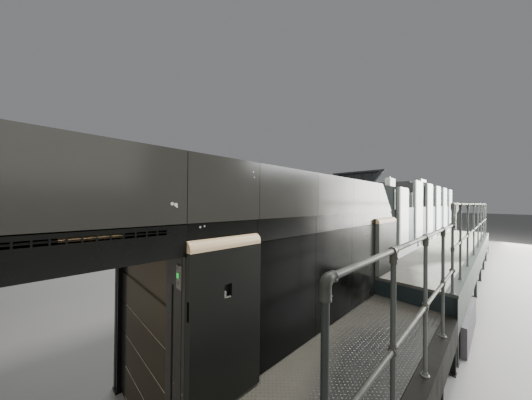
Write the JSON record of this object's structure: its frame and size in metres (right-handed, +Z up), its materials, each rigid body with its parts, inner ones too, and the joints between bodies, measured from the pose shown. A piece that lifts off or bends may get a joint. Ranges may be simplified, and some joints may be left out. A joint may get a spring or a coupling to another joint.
{
  "type": "offset printing press",
  "caption": "Sheetfed offset printing press with an extended delivery housing, white unit towers, a feeder, a stepped gallery and tube handrails.",
  "frame": {"origin": "under the middle of the whole line, on the floor", "axes": "+X from the delivery to the feeder, -Y the gallery side that the picture shows, +Z up"},
  "size_m": [15.718, 3.644, 2.65],
  "materials": {
    "housing_dark": "satin dark anthracite paint",
    "upper_panel": "satin warm dark grey paint with chips",
    "lower_panel": "satin near-black paint",
    "pile_wall": "worn dark paint",
    "control": "grey membrane strip",
    "lamp": "green indicator lens",
    "brass": "dull brass",
    "door": "satin dark grey paint",
    "cap": "cream semi-gloss paint",
    "hinge": "brushed steel",
    "tower_white": "white semi-gloss paint",
    "machine_grey": "dark grey paint",
    "window": "dark tinted glossy windows",
    "feeder_light": "white semi-gloss paint",
    "feed_steel": "brushed sheet steel",
    "board": "worn pallet wood",
    "galvanised": "galvanised sheet",
    "deck_plate": "worn chequer plate",
    "edge_channel": "brownish grey paint, worn",
    "fascia_light": "light greenish grey paint",
    "riser": "near-black blue paint",
    "duct": "purple grey paint",
    "rail": "mid grey paint, rubbed"
  },
  "bodies": {
    "root": {"lower_housing": "housing_dark", "upper_housing": "housing_dark", "roof_panel": "housing_dark", "exhaust_collars": "galvanised", "beam_near": "lower_panel", "beam_far": "lower_panel", "air_bars": "brass", "end_columns": "housing_dark", "delivery_head": "housing_dark", "pile_rear_wall": "pile_wall", "pile_jambs": "pile_wall", "control_strip": "control", "control_lamp": "lamp", "upper_panels_near": "upper_panel", "upper_panels_far": "upper_panel", "mid_panels_near": "lower_panel", "mid_panels_far": "lower_panel", "lower_panels_near": "lower_panel", "lower_panels_far": "lower_panel", "slanted_end_cover": "housing_dark", "front_door_hinges": "hinge", "rear_door_hinges": "hinge", "coater_guard": "machine_grey", "guard_hood": "machine_grey", "roof_cabinets": "feeder_light", "coater_tower": "tower_white", "ink_tower_1": "tower_white", "ink_tower_2": "tower_white", "ink_tower_3": "tower_white", "ink_tower_4": "tower_white", "ink_tower_5": "tower_white", "unit_beds": "machine_grey", "unit_skirts": "feeder_light", "unit_guards": "feeder_light", "guard_windows": "window", "feeder_frame": "machine_grey", "feeder_head": "feeder_light", "feed_board": "feed_steel", "feeder_pile_board": "board", "low_deck_near": "deck_plate", "low_fascia_near": "edge_channel", "low_rail_near": "rail", "high_deck_near": "deck_plate", "high_fascia_near": "fascia_light", "high_rail_near": "rail", "high_deck_far": "deck_plate", "high_fascia_far": "fascia_light", "high_rail_far": "rail", "step_risers": "riser", "gallery_ducts": "duct", "gallery_steps": "edge_channel"},
    "front_door": {"front_door": "door", "front_door_cap": "cap"},
    "rear_door": {"rear_door": "door", "rear_door_cap": "cap"}
  },
  "joints": [
    {"name": "front_door_hinge", "type": "hinge", "parent": "root", "child": "front_door", "pos_m": [-5.903, -0.828, 1.2], "axis": [0, 0, 1], "range_deg": [0, 100]},
    {"name": "rear_door_hinge", "type": "hinge", "parent": "root", "child": "rear_door", "pos_m": [-2.682, -0.828, 1.3], "axis": [0, 0, 1], "range_deg": [0, 100]}
  ]
}
